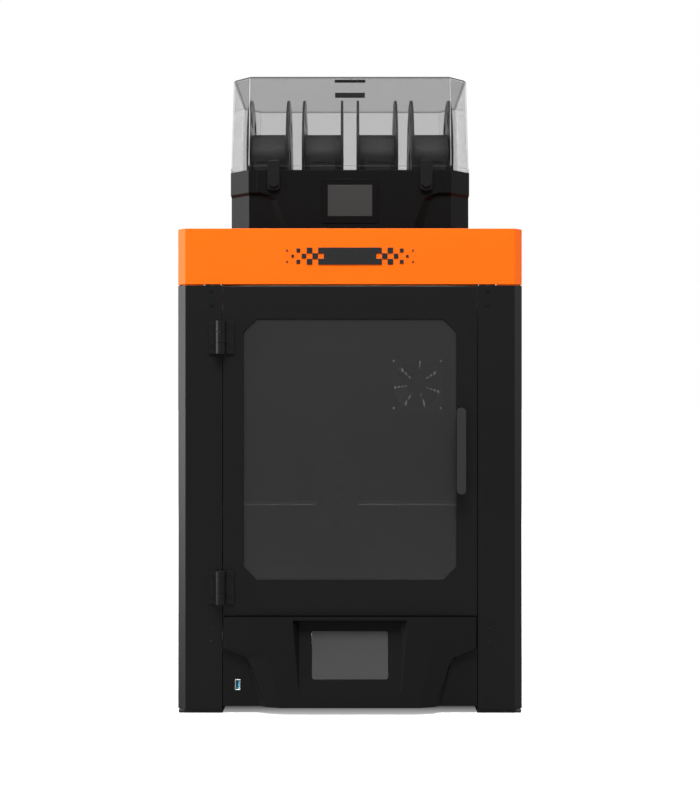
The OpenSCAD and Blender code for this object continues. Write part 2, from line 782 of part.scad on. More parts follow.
// Hollow cover with a round fan mouth, a notch for the nozzle and a tube riser on top
module toolhead_shell() {
    x = [tool_x - tool_w / 2, tool_x + tool_w / 2];
    wall = 2.2;
    color(black) {
        difference() {
            block(x, tool_d, tool_z);
            block([x[0] + wall, x[1] - wall], [tool_d[0] + wall, tool_d[1] + 1],
                [tool_z[0] - 1, tool_z[1] - wall]);
            block([tool_x - 18.5, tool_x + 18.5], [tool_d[0] - 1, tool_d[1]],
                [tool_z[0] - 1, tool_z[0] + 7]);
            bar_y(tool_x, [tool_d[0] - 1, tool_d[0] + 4], tool_fan_z, tool_fan_r);
        }
        difference() {
            union() {
                bar_y(tool_x, [tool_d[0] - 1, tool_d[0] + 8], tool_fan_z, tool_fan_r + 2.4);
                block([tool_x - 9.2, tool_x + 9.2], [228, 246], [tool_z[1], tool_z[1] + 49]);
            }
            bar_y(tool_x, [tool_d[0] - 2, tool_d[0] + 9], tool_fan_z, tool_fan_r);
            bar_z(tool_x, 237, [tool_z[1] - 1, tool_z[1] + 50], 6);
        }
        difference() {
            bar_y(tool_x, [tool_d[0] + 9, tool_d[0] + 11], tool_fan_z, tool_fan_r + 2.4);
            bar_y(tool_x, [tool_d[0] + 8, tool_d[0] + 12], tool_fan_z, 1.5 + running);
            for (a = [0:90:270]) translate([tool_x, front_y + tool_d[0] + 8, tool_fan_z])
                rotate([0, a + 45, 0]) translate([6, 0, -5]) cube([9, 4, 10]);
        }
        both_sides_of_tool() block([tool_x + tool_fan_r, tool_x + tool_w / 2 - 1],
            [tool_d[0] + 8, tool_d[0] + 11], [tool_fan_z - 4, tool_fan_z + 4]);
    }
}
module both_sides_of_tool() {
    children();
    translate([2 * tool_x, 0, 0]) mirror([1, 0, 0]) children();
}

// Cooling fan wheel of the hot end
module toolhead_fan() {
    d = [tool_d[0] + 0.5, tool_d[0] + 7];
    color("dimgray") {
        bar_y(tool_x, d, tool_fan_z, 6.5);
        bar_y(tool_x, [d[1], d[1] + 3.5], tool_fan_z, 1.5);
        intersection() {
            bar_y(tool_x, d, tool_fan_z, tool_fan_r - 1);
            for (i = [0:8]) translate([tool_x, front_y + d[0] + 3.2, tool_fan_z])
                rotate([0, i * 40, 0]) translate([5.5, 0, 0]) rotate([40, 0, 0])
                translate([0, -0.5, -4]) cube([11, 1, 8]);
        }
    }
}

// Finned cooler, heater block and brass nozzle
module hotend() {
    d = 240;
    color("silver") {
        for (i = [0:6]) bar_z(tool_x, d, [268 + i * 4, 270.4 + i * 4], 11);
        bar_z(tool_x, d, [257, 305], 4);
        block([tool_x - 8, tool_x + 12], [d - 8, d + 8], [246, 257]);
        bar_z(tool_x, d, [241, 246], 3);
        translate([tool_x, front_y + d, 238]) cylinder(r1 = 0.6, r2 = 3, h = 3);
    }
}

// Extruder drive: flat motor and gear case above the hot end
module extruder() {
    color("dimgray") {
        block([tool_x - 20, tool_x + 20], [228, 252], [305, 334]);
        bar_y(tool_x, [252, 267], 319, 17);
        bar_z(tool_x, 240, [334, 340], 4);
    }
}

// ---- filament box ----

// Ring of the box at one level, set in at the sides and rear by one value and in front by another
function box_ring(inset, front, z) = [for (p = cut_rect(box_half - inset, box_front + front,
    box_front + box_d - inset, box_chamfer - 0.586 * inset)) [p[0], front_y + p[1], z]];

// Left half of the raised front field, from its lower edge up; x and z
field_crease = [[-108, box_bottom + 2], [-120, 731], [-128, 737], [-140, 741], [-140, rim_z - 0.5]];
field_edge = [[-89.6, box_bottom + 2], [-107.6, 733], [-117, 739], [-137, 745], [-137, rim_z - 0.5]];

// Open tub with a wider rim band, a raised front field, roller uprights and feet
module box_base() {
    side = 1;
    step = 4;
    wall = 3;
    inner = side + wall;
    screen = [41.2, 698, 763.2];
    color(black) difference() {
        union() {
            difference() {
                ring_stack([box_ring(side, step, box_bottom), box_ring(side, step, band_z - step),
                    box_ring(0, 0, band_z), box_ring(0, 0, rim_z)]);
                ring_stack([box_ring(inner, step + wall, box_bottom + wall),
                    box_ring(inner, step + wall, band_z - 1),
                    box_ring(wall, wall, band_z + step - 1), box_ring(wall, wall, rim_z + 1)]);
            }
            ring_stack([panel_ring(field_crease, box_front + step + 1.5),
                panel_ring(field_edge, box_front - 0.2)]);
            for (i = [-2:2], d = roller_ds) block([i * spool_pitch - 4, i * spool_pitch + 4],
                [d - 8, d + 8], [box_bottom + wall - 0.5, roller_z - 3]);
            for (x = [-140, 140], d = [box_front + 40, box_front + box_d - 40])
                bar_z(x, d, [roof_z + sheet, box_bottom + 1], 9);
        }
        block([-screen[0], screen[0]], [box_front - 1, box_front + 9], [screen[1], screen[2]]);
        block([-outlet_half - 0.1, outlet_half + 0.1],
            [box_front + box_d - 9, box_front + box_d + 1], [outlet_z - 15.1, outlet_z + 15.1]);
    }
}

// Small status screen with its bezel
module box_screen() {
    mid_z = 730.6;
    color("black") translate([0, 0, mid_z]) plate_y([box_front - 1, box_front + 8])
        rounded(82, 64.8, 2);
    color("gray") translate([0, 0, mid_z + 0.4]) plate_y([box_front - 1.4, box_front - 1])
        rounded(65, 45.6, 1);
}

// Four feeders behind the front wall, each with a filament mouth on top
module box_feeders() {
    color("dimgray") for (x = spool_xs) {
        difference() {
            block([x - 18, x + 18], [box_front + 9, box_front + 22], [box_bottom + 3, 795]);
            bar_z(x, box_front + 15.5, [780, 796], 1.5);
            block([x - 14, x + 14], [box_front + 8, box_front + 10.5], [762, 790]);
        }
    }
}

// Outlet plate in the rear wall's cut-out, with four push-in tube fittings
module tube_fittings() {
    rear = box_front + box_d;
    color("gray") difference() {
        union() {
            block([-outlet_half, outlet_half], [rear - 4, rear - 1],
                [outlet_z - 15, outlet_z + 15]);
            for (x = outlet_xs) {
                bar_y(x, [rear - 1, rear + 1], outlet_z, 7);
                bar_y(x, [rear + 1, rear + 10], outlet_z, 5);
                bar_y(x, [rear + 10, rear + 12], outlet_z, 4);
            }
        }
        for (x = outlet_xs) bar_y(x, [rear - 5, rear + 13], outlet_z, 2.05);
    }
}

// Eight rubber rollers on two axles, under the spools
module spool_rollers() {
    color("dimgray") for (d = roller_ds) {
        bar_x([-box_half + 11, box_half - 11], d, roller_z, 3);
        for (x = spool_xs) for (s = [-1, 1]) {
            mid = x + s * spool_gauge / 2;
            bar_x([mid - 6, mid + 6], d, roller_z, roller_r);
        }
    }
}

// Spool: two flanges with round windows on a hollow hub
module spool(x) {
    half = spool_gauge / 2;
    t = 1.8;
    color("dimgray") translate([x, front_y + box_mid_d, spool_z]) rotate([0, 90, 0])
        difference() {
            rotate_extrude() polygon([[spool_bore, -half - t], [spool_r, -half - t],
                [spool_r, -half + t], [hub_r, -half + t], [hub_r, half - t], [spool_r, half - t],
                [spool_r, half + t], [spool_bore, half + t]]);
            for (a = [0:60:300]) rotate(a) for (s = [-1, 1])
                translate([0, 74, s * half - 2.5]) cylinder(r = 13, h = 5);
        }
}
module spool_1() { spool(spool_xs[0]); }
module spool_2() { spool(spool_xs[1]); }
module spool_3() { spool(spool_xs[2]); }
module spool_4() { spool(spool_xs[3]); }

// Clear lid: tapered hood with a bevelled roof edge and a thicker lower lip
module box_lid() {
    wall = 2.5;
    z0 = rim_z + 0.7;
    bevel = 3;
    lean = 4.5;
    low = wall + 0.1;
    color([0.7, 0.7, 0.7, 0.4]) difference() {
        ring_stack([box_ring(0, 0, z0), box_ring(0, 0, z0 + 5), box_ring(1, 0.5, z0 + 5.5),
            box_ring(lean, 2, lid_top - bevel), box_ring(lean + bevel, 2 + bevel, lid_top)]);
        ring_stack([box_ring(wall, wall, z0 - 1), box_ring(low, low, z0 + 6),
            box_ring(lean + wall, 2 + wall, lid_top - bevel),
            box_ring(lean + bevel + wall - 1, 1 + bevel + wall, lid_top - wall)]);
    }
}

// Dark grip strip under the lid's front edge and the pocket bar behind it
module lid_grip() {
    roof = lid_top - 2.5;
    color("black") {
        block([-22.7, 22.7], [box_front + 12.5, box_front + 24], [roof - 2, roof]);
        block([-23, 23], [box_front + 97, box_front + 100], [roof - 7.5, roof]);
    }
}

// Lid side of the lid hinges
module lid_hinge_leaves() {
    rear = box_front + box_d;
    color("dimgray") for (x = lid_hinge_xs) {
        block([x - 20, x + 20], [rear, rear + 2], [786, 806]);
        difference() {
            union() {
                bar_x([x - 6.7, x + 6.7], lid_axis_d, lid_axis_z, lid_barrel_r);
                block([x - 6.7, x + 6.7], [rear, lid_axis_d - 1], [lid_axis_z + 3.6, 792]);
            }
            bar_x([x - 8, x + 8], lid_axis_d, lid_axis_z, pin_r + running);
        }
    }
}

// Turn latch: flat tab with round ends on a shoulder screw
module latch() {
    w = 17.9;
    z = [745.6, 789.7];
    color(black) difference() {
        translate([-latch_x, 0, (z[0] + z[1]) / 2]) plate_y([box_front - 5, box_front - 0.6])
            rounded(w, z[1] - z[0], 6);
        bar_y(-latch_x, [box_front - 6, box_front], latch_z, 3 + running);
    }
}
module latch_left() { latch(); }
module latch_right() { mirror([1, 0, 0]) latch(); }

base_tray();
front_post_left();
front_post_right();
side_panel_left();
side_panel_right();
rear_panel();
crown();
top_plate();
badge_inlay();
lower_front_panel();
touch_screen();
usb_port();
foot_caps();
frame_screws();
chamber_deck();
heated_bed();
build_plate();
guide_rods();
z_motors();
exhaust_fan_frame();
exhaust_rotor();
power_inlet();
power_rocker();
power_supply();
control_board();
fixed_hinge_leaves();
hinge_pins();
door_frame();
door_window();
door_handle();
door_hinge_leaves();
gantry_beams();
gantry_brackets();
y_rails();
belt_motors();
drive_belts();
lead_screw_left();
lead_screw_right();
x_beam();
x_rail();
y_carriages();
toolhead_carriage();
toolhead_shell();
toolhead_fan();
hotend();
extruder();
box_base();
box_screen();
box_feeders();
tube_fittings();
spool_rollers();
spool_1();
spool_2();
spool_3();
spool_4();
box_lid();
lid_grip();
lid_hinge_leaves();
latch_left();
latch_right();
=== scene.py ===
# An enclosed filament printer with a clear-lidded box of four spools on its roof.
# Every length is in metres. The front faces -Y, and the printed part's frame sets all places.
import math

import bmesh
import bpy
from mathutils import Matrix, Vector


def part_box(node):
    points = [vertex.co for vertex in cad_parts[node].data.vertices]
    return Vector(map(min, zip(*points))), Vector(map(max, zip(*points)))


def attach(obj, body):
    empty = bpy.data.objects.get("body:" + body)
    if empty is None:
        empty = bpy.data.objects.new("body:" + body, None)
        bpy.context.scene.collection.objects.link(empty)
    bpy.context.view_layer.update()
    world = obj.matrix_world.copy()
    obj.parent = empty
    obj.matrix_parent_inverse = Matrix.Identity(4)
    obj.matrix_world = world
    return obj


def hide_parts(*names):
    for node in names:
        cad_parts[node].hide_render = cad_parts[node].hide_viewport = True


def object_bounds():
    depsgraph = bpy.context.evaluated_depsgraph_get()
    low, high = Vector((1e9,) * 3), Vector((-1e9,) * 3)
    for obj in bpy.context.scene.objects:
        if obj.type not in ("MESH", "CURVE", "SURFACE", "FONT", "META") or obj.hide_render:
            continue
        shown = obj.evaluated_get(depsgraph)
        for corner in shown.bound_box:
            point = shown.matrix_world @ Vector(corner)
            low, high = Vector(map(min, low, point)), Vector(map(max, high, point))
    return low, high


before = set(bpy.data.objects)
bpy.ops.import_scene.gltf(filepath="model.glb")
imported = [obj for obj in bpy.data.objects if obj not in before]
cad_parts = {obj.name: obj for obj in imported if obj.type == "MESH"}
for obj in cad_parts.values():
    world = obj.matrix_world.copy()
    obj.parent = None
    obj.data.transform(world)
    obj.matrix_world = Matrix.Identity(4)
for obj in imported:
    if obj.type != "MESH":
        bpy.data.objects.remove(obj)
cad_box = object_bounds()


# ---- studio: floor, lights and camera ----
# A white sweep under a large soft light on the left, a weak one on the right, and three more
# above, behind and in front. The camera stands square to the front, level with the door.
front_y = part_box("front_post_left")[0].y
camera_away = 1.9
camera_height = 0.4388
scene = bpy.context.scene
scene.view_settings.view_transform = "Standard"

camera_data = bpy.data.cameras.new("camera")
camera_data.lens = 61.07
camera_data.sensor_width = 36.0
camera = bpy.data.objects.new("camera", camera_data)
camera.location = (0, front_y - camera_away, camera_height)
camera.rotation_euler = (math.radians(90), 0, 0)
scene.collection.objects.link(camera)
scene.camera = camera

world = bpy.data.worlds.new("studio")
scene.world = world
world.use_nodes = True
sky = world.node_tree.nodes
sky.clear()
sky_out = sky.new("ShaderNodeOutputWorld")
sky_mix = sky.new("ShaderNodeMixShader")
sky_seen = sky.new("ShaderNodeLightPath")
sky_room = sky.new("ShaderNodeBackground")
sky_white = sky.new("ShaderNodeBackground")
for background, strength in ((sky_room, 0.22), (sky_white, 1.0)):
    background.inputs["Color"].default_value = (1, 1, 1, 1)
    background.inputs["Strength"].default_value = strength
world.node_tree.links.new(sky_seen.outputs["Is Camera Ray"], sky_mix.inputs["Fac"])
world.node_tree.links.new(sky_room.outputs[0], sky_mix.inputs[1])
world.node_tree.links.new(sky_white.outputs[0], sky_mix.inputs[2])
world.node_tree.links.new(sky_mix.outputs[0], sky_out.inputs["Surface"])


def softbox(name, place, target, size, power):
    """A rectangular area light that faces a point."""
    data = bpy.data.lights.new(name, "AREA")
    data.shape = "RECTANGLE"
    data.size, data.size_y = size
    data.energy = power
    lamp = bpy.data.objects.new(name, data)
    lamp.location = place
    aim = Vector(target) - Vector(place)
    lamp.rotation_euler = aim.to_track_quat("-Z", "Y").to_euler()
    scene.collection.objects.link(lamp)
    return lamp


softbox("left_softbox", (-2.6, -0.35, 0.9), (0, -0.1, 0.45), (1.6, 2.0), 80)
softbox("right_softbox", (2.8, -0.3, 1.0), (0, -0.1, 0.45), (1.0, 1.6), 9)
softbox("top_softbox", (0, -0.3, 3.2), (0, 0, 0.5), (2.6, 2.6), 70)
softbox("back_softbox", (0.4, 3.0, 1.6), (0, 0, 0.6), (2.2, 1.8), 45)
softbox("front_softbox", (0, -2.5, 4.0), (0, -0.2, 0.5), (2.4, 1.4), 230)


def ramp(nodes, span, result):
    """A node that carries a value from one span to another."""
    made = nodes.new("ShaderNodeMapRange")
    made.inputs["From Min"].default_value, made.inputs["From Max"].default_value = span
    made.inputs["To Min"].default_value, made.inputs["To Max"].default_value = result
    return made


# The floor's own glow is painted light: it is weakest near the printer, where the lamps light it,
# and its fall to almost nothing under the body is a painted shadow. Only the camera sees it, so the
# floor throws little light back up.
floor_mesh = bmesh.new()
bmesh.ops.create_grid(floor_mesh, x_segments=1, y_segments=1, size=60)
floor_data = bpy.data.meshes.new("floor")
floor_mesh.to_mesh(floor_data)
floor_mesh.free()
floor = bpy.data.objects.new("floor", floor_data)
scene.collection.objects.link(floor)
floor_paint = bpy.data.materials.new("floor_paint")
floor_paint.use_nodes = True
floor_nodes, floor_links = floor_paint.node_tree.nodes, floor_paint.node_tree.links
floor_shader = floor_nodes["Principled BSDF"]
floor_shader.inputs["Base Color"].default_value = (0.8, 0.8, 0.8, 1)
floor_shader.inputs["Roughness"].default_value = 0.9
floor_shader.inputs["Specular IOR Level"].default_value = 0.05
floor_shader.inputs["Emission Color"].default_value = (1, 1, 1, 1)
body_half = cad_box[1][0]
floor_place = floor_nodes.new("ShaderNodeTexCoord")
floor_reach = floor_nodes.new("ShaderNodeVectorMath")
floor_reach.operation = "LENGTH"
floor_glow = ramp(floor_nodes, (0.5, 2.6), (0.45, 1.2))
floor_links.new(floor_place.outputs["Object"], floor_reach.inputs[0])
floor_links.new(floor_reach.outputs["Value"], floor_glow.inputs["Value"])
floor_parts = floor_nodes.new("ShaderNodeSeparateXYZ")
floor_links.new(floor_place.outputs["Object"], floor_parts.inputs[0])
floor_edge = floor_nodes.new("ShaderNodeMath")
floor_edge.operation = "MAXIMUM"
for count, across in enumerate("XY"):
    floor_span = floor_nodes.new("ShaderNodeMath")
    floor_span.operation = "ABSOLUTE"
    floor_links.new(floor_parts.outputs[across], floor_span.inputs[0])
    floor_links.new(floor_span.outputs[0], floor_edge.inputs[count])
# Painted shadow: the floor's glow fades to almost nothing under the body's footprint.
floor_painted_shadow = ramp(floor_nodes, (body_half - 0.052, body_half + 0.004), (0.08, 1.0))
floor_links.new(floor_edge.outputs[0], floor_painted_shadow.inputs["Value"])
floor_amount = floor_nodes.new("ShaderNodeMath")
floor_amount.operation = "MULTIPLY"
floor_links.new(floor_glow.outputs["Result"], floor_amount.inputs[0])
floor_links.new(floor_painted_shadow.outputs["Result"], floor_amount.inputs[1])
floor_links.new(floor_amount.outputs[0], floor_shader.inputs["Emission Strength"])
floor_dim = floor_nodes.new("ShaderNodeBsdfDiffuse")
floor_dim.inputs["Color"].default_value = (0.25, 0.25, 0.25, 1)
floor_seen = floor_nodes.new("ShaderNodeLightPath")
floor_mix = floor_nodes.new("ShaderNodeMixShader")
floor_links.new(floor_seen.outputs["Is Camera Ray"], floor_mix.inputs["Fac"])
floor_links.new(floor_dim.outputs[0], floor_mix.inputs[1])
floor_links.new(floor_shader.outputs[0], floor_mix.inputs[2])
floor_links.new(floor_mix.outputs[0], floor_nodes["Material Output"].inputs["Surface"])
floor.data.materials.append(floor_paint)


# ---- front posts, side sheets, rear sheet and roof sheet ----
# Folded steel sheet with a black fine-textured powder coat, baked on after bending.
# The press leaves every outer edge with a small radius.
def solid(name, mesh, smooth_below=32):
    """Makes an object of a finished bmesh; edges flatter than the angle are shaded smooth."""
    for face in mesh.faces:
        face.smooth = True
    for edge in mesh.edges:
        edge.smooth = edge.is_manifold and edge.calc_face_angle() < math.radians(smooth_below)
    data = bpy.data.meshes.new(name)
    mesh.to_mesh(data)
    mesh.free()
    piece = bpy.data.objects.new(name, data)
    scene.collection.objects.link(piece)
    even = piece.modifiers.new("even_shading", "WEIGHTED_NORMAL")
    even.keep_sharp = True
    return piece


def eased(node, body, width, segments=2, sharp=28):
    """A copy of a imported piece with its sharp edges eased; it stands for that piece."""
    mesh = bmesh.new()
    mesh.from_mesh(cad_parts[node].data)
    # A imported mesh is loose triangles: its points are merged and its flats made whole again.
    bmesh.ops.remove_doubles(mesh, verts=mesh.verts, dist=2e-6)
    bmesh.ops.dissolve_limit(mesh, angle_limit=math.radians(0.4), use_dissolve_boundaries=False,
                             verts=mesh.verts, edges=mesh.edges)
    edges = [e for e in mesh.edges if e.is_manifold
             and e.calc_face_angle() > math.radians(sharp)]
    bmesh.ops.bevel(mesh, geom=edges, offset=width, offset_type="OFFSET", affect="EDGES",
                    segments=segments, profile=0.5, material=-1, clamp_overlap=True)
    piece = solid(node + "_piece", mesh)
    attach(piece, body)
    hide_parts(node)
    return piece


def grained(name, colour, rough, grain, depth, mottle=0.12, patch=0.03, metal=0.0, sheen=0.5):
    """A surface with a fine grain in its height and gloss, and a broad mottle in its colour."""
    made = bpy.data.materials.new(name)
    made.use_nodes = True
    nodes, links = made.node_tree.nodes, made.node_tree.links
    shader = nodes["Principled BSDF"]
    shader.inputs["Metallic"].default_value = metal
    shader.inputs["Specular IOR Level"].default_value = sheen
    place = nodes.new("ShaderNodeTexCoord")
    broad = nodes.new("ShaderNodeTexNoise")
    broad.inputs["Scale"].default_value = 1 / patch
    broad.inputs["Detail"].default_value = 5
    fine = nodes.new("ShaderNodeTexNoise")
    fine.inputs["Scale"].default_value = 1 / grain
    fine.inputs["Detail"].default_value = 3
    for noise in (broad, fine):
        links.new(place.outputs["Object"], noise.inputs["Vector"])
    tone = nodes.new("ShaderNodeMix")
    tone.data_type = "RGBA"
    tone.inputs["A"].default_value = [c * (1 - mottle) for c in colour[:3]] + [1]
    tone.inputs["B"].default_value = [min(c * (1 + mottle), 1) for c in colour[:3]] + [1]
    links.new(broad.outputs["Fac"], tone.inputs["Factor"])
    links.new(tone.outputs["Result"], shader.inputs["Base Color"])
    gloss = ramp(nodes, (0, 1), (rough * 0.9, min(rough * 1.12, 1)))
    links.new(fine.outputs["Fac"], gloss.inputs["Value"])
    links.new(gloss.outputs["Result"], shader.inputs["Roughness"])
    relief = nodes.new("ShaderNodeBump")
    relief.inputs["Distance"].default_value = depth
    relief.inputs["Strength"].default_value = 0.6
    links.new(fine.outputs["Fac"], relief.inputs["Height"])
    links.new(relief.outputs["Normal"], shader.inputs["Normal"])
    return made


def shader_of(material):
    """The main shader of a surface, for the sockets that only some surfaces set."""
    return material.node_tree.nodes["Principled BSDF"]


def dress(piece, material):
    """Gives a piece one material in a single slot."""
    piece.data.materials.clear()
    piece.data.materials.append(material)
    return piece


powder_coat = grained("powder_coat", (0.0045, 0.0045, 0.0046, 1), 0.42, 0.0007, 0.00006,
                      mottle=0.10, patch=0.018, sheen=0.26)
for hand in ("left", "right"):
    dress(eased("front_post_" + hand, "frame", 0.0006), powder_coat)
for hand in ("left", "right"):
    dress(eased("side_panel_" + hand, "frame", 0.0004), powder_coat)
dress(eased("rear_panel", "frame", 0.0003), powder_coat)
dress(eased("top_plate", "frame", 0.0005), powder_coat)


# ---- crown ----
# The moulded cover ring that closes the top of the body, in orange plastic with a fine satin
# texture. It is moulded in one shot and clipped over the roof sheet.
orange_plastic = grained("orange_plastic", (1.0, 0.150, 0.005, 1), 0.42, 0.0009, 0.00004,
                         mottle=0.04, patch=0.05, sheen=0.12)
dress(eased("crown", "frame", 0.0015, segments=3), orange_plastic)


# ---- badge ----
# A plain black name plate with nothing on it, and checks that shrink outwards beside it.
# Pad-printed film, a little glossier than the crown.
badge_film = grained("badge_film", (0.012, 0.012, 0.013, 1), 0.38, 0.0012, 0.00002)
dress(eased("badge_inlay", "frame", 0.0002, segments=1), badge_film)


# ---- lower front panel with its touch screen and data socket ----
# Moulded black plastic with a faceted bulge. The screen lies on the floor of a sloping recess,
# and the steel-shelled data socket stands upright in the flat corner on the left.
panel_plastic = grained("panel_plastic", (0.0042, 0.0042, 0.0043, 1), 0.42, 0.0008, 0.00005,
                        mottle=0.10, patch=0.02, sheen=0.22)
dress(eased("lower_front_panel", "frame", 0.0007, sharp=12), panel_plastic)


def screen_film(name, colour):
    """Grey screen under a slightly glossy film."""
    made = grained(name, colour, 0.3, 0.004, 0.000004, mottle=0.03, patch=0.09)
    shader_of(made).inputs["Coat Weight"].default_value = 0.25
    shader_of(made).inputs["Coat Roughness"].default_value = 0.12
    return made


lower_screen_film = screen_film("lower_screen_film", (0.057, 0.057, 0.058, 1))
dress(eased("touch_screen", "frame", 0.0006), lower_screen_film)

shell_steel = grained("shell_steel", (0.86, 0.86, 0.86, 1), 0.22, 0.002, 0.00001, metal=1.0)
socket_blue = grained("socket_blue", (0.02, 0.42, 0.62, 1), 0.4, 0.001, 0.00001)


def tint(piece, material, chosen):
    """Gives one more material to the faces that a test picks."""
    piece.data.materials.append(material)
    number = len(piece.data.materials) - 1
    for face in piece.data.polygons:
        if chosen(face):
            face.material_index = number


socket = dress(eased("usb_port", "frame", 0.0002, segments=1), shell_steel)
socket_low, socket_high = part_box("usb_port")
tongue_x = (socket_low.x + socket_high.x) / 2 + 0.00125
tongue_z = (socket_low.z + socket_high.z) / 2
tongue_half = Vector((0.0012, 0.0064))


def on_tongue(face):
    """The faces of the tongue that stands inside the socket's steel shell."""
    at = face.center
    return (at.y > socket_low.y + 0.001 and abs(at.x - tongue_x) < tongue_half.x
            and abs(at.z - tongue_z) < tongue_half.y)


tint(socket, socket_blue, on_tongue)


# ---- foot caps and screws ----
# Grey moulded caps under the four corners, and button screws of blackened steel in the posts
# and latches. Rows of smaller heads are added where sheets and hinge leaves are screwed on.
cap_rubber = grained("cap_rubber", (0.022, 0.022, 0.0225, 1), 0.7, 0.0015, 0.00008)
dress(eased("foot_caps", "frame", 0.0018, segments=3), cap_rubber)
black_oxide = grained("black_oxide", (0.016, 0.016, 0.017, 1), 0.38, 0.0008, 0.00002, metal=0.6)
fixings = dress(eased("frame_screws", "frame", 0.0002, segments=1), black_oxide)

FRONTWARD = Vector((0, -1, 0))
REARWARD = Vector((0, 1, 0))


def screw_row(name, body, spots, facing, radius, height):
    """Screw heads of one size with a round drive socket, their tops at the given spots."""
    outline = [(0, -height), (radius * 0.92, -height), (radius, -height * 0.55),
               (radius * 0.86, -height * 0.08), (radius * 0.72, 0), (radius * 0.46, 0),
               (radius * 0.42, -height * 0.5), (0, -height * 0.5)]
    mesh = bmesh.new()
    for spot in spots:
        half = [mesh.verts.new(spot + Vector((out, 0, 0)) + facing * up) for out, up in outline]
        edges = [mesh.edges.new(ends) for ends in zip(half, half[1:])]
        bmesh.ops.spin(mesh, geom=half + edges, cent=spot, axis=facing, dvec=(0, 0, 0),
                       angle=math.tau, steps=24, use_merge=True)
    bmesh.ops.remove_doubles(mesh, verts=mesh.verts, dist=2e-6)
    bmesh.ops.recalc_face_normals(mesh, faces=mesh.faces)
    piece = solid(name, mesh)
    piece.data.materials.append(black_oxide)
    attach(piece, body)


sheet_low, sheet_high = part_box("rear_panel")
sheet_margin = 0.008
sheet_heights = (0.018, 0.21, 0.40, 0.572)
sheet_proud = 0.0016
screw_row("rear_sheet_screws", "frame",
          [Vector((side * (sheet_high.x - sheet_margin), sheet_high.y + sheet_proud,
                   sheet_low.z + up))
           for side in (-1, 1) for up in sheet_heights],
          REARWARD, 0.0034, 0.0018)


# ---- door hinges ----
# Two cast zinc leaf hinges in satin black: three knuckles on a steel pin, two countersunk
# screws in each leaf.
hinge_paint = grained("hinge_paint", (0.009, 0.009, 0.0093, 1), 0.42, 0.0012, 0.00003,
                      sheen=0.16)
pin_metal = grained("pin_metal", (0.55, 0.55, 0.55, 1), 0.25, 0.001, 0.00001, metal=1.0)
dress(eased("fixed_hinge_leaves", "frame", 0.0004), hinge_paint)
dress(eased("door_hinge_leaves", "door", 0.0004), hinge_paint)
dress(eased("hinge_pins", "frame", 0.0003), pin_metal)
leaf_low, leaf_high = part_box("door_hinge_leaves")
leaf_half = 0.023
leaf_screw_half_pitch = 0.014
leaf_proud = 0.0028
post_leaf_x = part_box("fixed_hinge_leaves")[0].x + 0.0043
door_leaf_x = leaf_high.x - 0.005
leaf_rows = [middle + side * leaf_screw_half_pitch
             for middle in (leaf_low.z + leaf_half, leaf_high.z - leaf_half) for side in (-1, 1)]
for name, body, across in (("post_leaf_screws", "frame", post_leaf_x),
                           ("door_leaf_screws", "door", door_leaf_x)):
    screw_row(name, body, [Vector((across, front_y - leaf_proud, up)) for up in leaf_rows],
              FRONTWARD, 0.0025, 0.0012)


# ---- door ----
# Folded steel frame in the same coat, a smoked pane behind its opening and an upright
# moulded grip on the right.
dress(eased("door_frame", "door", 0.0006), powder_coat)
smoked = grained("smoked_pane", (0.037, 0.037, 0.0375, 1), 0.16, 0.02, 0.000002, mottle=0.05,
                 patch=0.2, sheen=0.2)
shader_of(smoked).inputs["Alpha"].default_value = 0.70
dress(eased("door_window", "door", 0.0003), smoked)
grip_plastic = grained("grip_plastic", (0.021, 0.021, 0.0214, 1), 0.42, 0.0009, 0.00004)
dress(eased("door_handle", "door", 0.0012, segments=3), grip_plastic)


# ---- chamber floor, heated bed and build plate ----
# A painted steel deck on which a cast aluminium heater plate stands on four studs. The spring
# steel sheet on it has a rough gold-grey coat. A weak light under the roof shows them.
softbox("chamber_lamp", (0, -0.13, 0.655), (0, -0.13, 0.2), (0.34, 0.10), 1.0).visible_camera = False
deck_paint = grained("deck_paint", (0.022, 0.022, 0.023, 1), 0.45, 0.0009, 0.00004)
dress(eased("chamber_deck", "frame", 0.0003), deck_paint)
dress(eased("base_tray", "frame", 0.0003), deck_paint)
cast_plate = grained("cast_plate", (0.46, 0.46, 0.47, 1), 0.38, 0.0008, 0.00003, metal=1.0)
dress(eased("heated_bed", "frame", 0.0006), cast_plate)
sheet_coat = grained("sheet_coat", (0.085, 0.07, 0.045, 1), 0.62, 0.0006, 0.00008, mottle=0.2,
                     patch=0.004)
dress(eased("build_plate", "frame", 0.0002, segments=1), sheet_coat)


# ---- guide rods, lead screws and their motors ----
# Ground steel rods, and trapezoidal screws on couplings above flat motors under the deck.
# Each screw turns with its motor and carries a nut of the gantry.
def turned(name, colour, rough, pitch, depth):
    """Bright metal with fine rings round the Z axis, as turning or a thread leaves them."""
    made = grained(name, colour, rough, 0.0012, 0.000005, metal=1.0)
    nodes, links = made.node_tree.nodes, made.node_tree.links
    place = nodes.new("ShaderNodeTexCoord")
    rings = nodes.new("ShaderNodeTexWave")
    rings.bands_direction = "Z"
    pitch_at_scale_one = 0.314
    rings.inputs["Scale"].default_value = pitch_at_scale_one / pitch
    rings.inputs["Distortion"].default_value = 0
    links.new(place.outputs["Object"], rings.inputs["Vector"])
    relief = nodes.new("ShaderNodeBump")
    relief.inputs["Distance"].default_value = depth
    relief.inputs["Strength"].default_value = 1.0
    links.new(rings.outputs["Fac"], relief.inputs["Height"])
    links.new(relief.outputs["Normal"], shader_of(made).inputs["Normal"])
    return made


